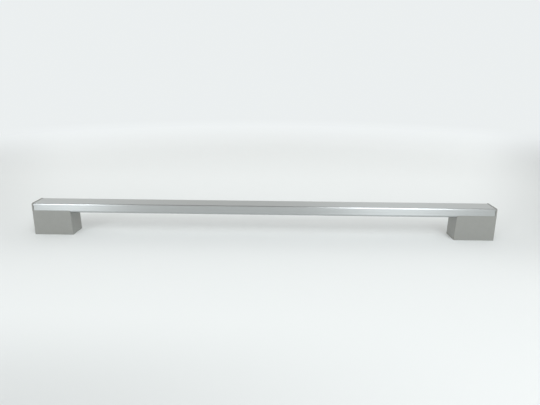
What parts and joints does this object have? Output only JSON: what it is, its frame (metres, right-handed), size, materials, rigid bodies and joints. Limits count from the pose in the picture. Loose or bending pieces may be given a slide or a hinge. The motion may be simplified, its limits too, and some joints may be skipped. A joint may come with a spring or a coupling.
{
  "type": "refrigerator door handle",
  "caption": "Straight aluminium bar handle on L-shaped grey moulded feet that close the bar's ends, with threaded inserts for the door's screws.",
  "frame": {"origin": "middle of the handle on the door's face, where the feet's undersides lie", "axes": "+X along the bar, +Y across the bar, +Z away from the door"},
  "size_m": [0.5012, 0.023, 0.0359],
  "materials": {
    "bar_aluminium": "satin, brushed along the bar and anodised",
    "foot_plastic": "fine satin texture",
    "fixing_steel": "bright zinc plate",
    "insert_brass": "plain turned and knurled"
  },
  "bodies": {
    "root": {"bar": "bar_aluminium", "foot_left": "foot_plastic", "foot_right": "foot_plastic", "door_insert_left": "insert_brass", "door_insert_right": "insert_brass", "nut_plate_left": "fixing_steel", "nut_plate_right": "fixing_steel", "bar_screw_left_inner": "fixing_steel", "bar_screw_left_outer": "fixing_steel", "bar_screw_right_inner": "fixing_steel", "bar_screw_right_outer": "fixing_steel", "bar_washer_left_inner": "fixing_steel", "bar_washer_left_outer": "fixing_steel", "bar_washer_right_inner": "fixing_steel", "bar_washer_right_outer": "fixing_steel"}
  },
  "joints": []
}
